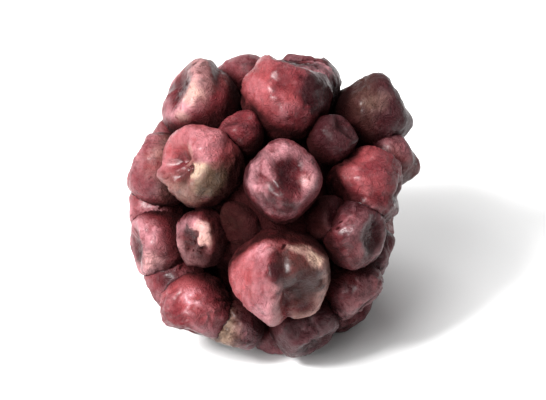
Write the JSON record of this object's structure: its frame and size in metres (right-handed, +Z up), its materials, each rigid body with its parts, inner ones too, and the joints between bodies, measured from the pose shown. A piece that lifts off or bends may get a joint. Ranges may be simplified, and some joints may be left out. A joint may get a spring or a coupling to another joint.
{
  "type": "freeze-dried bramble fruit",
  "caption": "Whole freeze-dried bramble fruit: dented, wrinkled dark drupelets fused round a small core, with pale pith in the hollow at its stem end.",
  "frame": {"origin": "on the surface that the fruit lies on, under the middle of its box", "axes": "+Z up, +Y towards the stem end, +X to the fruit's right seen from its apex"},
  "size_m": [0.016, 0.0162, 0.0158],
  "materials": {
    "drupelet_skin": "dry wrinkled fruit skin, satin, dark red-purple with a paler dusty bloom on its ridges",
    "receptacle_pith": "dry fibrous plant pith, matt, pale cream-yellow"
  },
  "bodies": {
    "root": {"drupelet_head": "drupelet_skin", "receptacle": "receptacle_pith"}
  },
  "joints": []
}
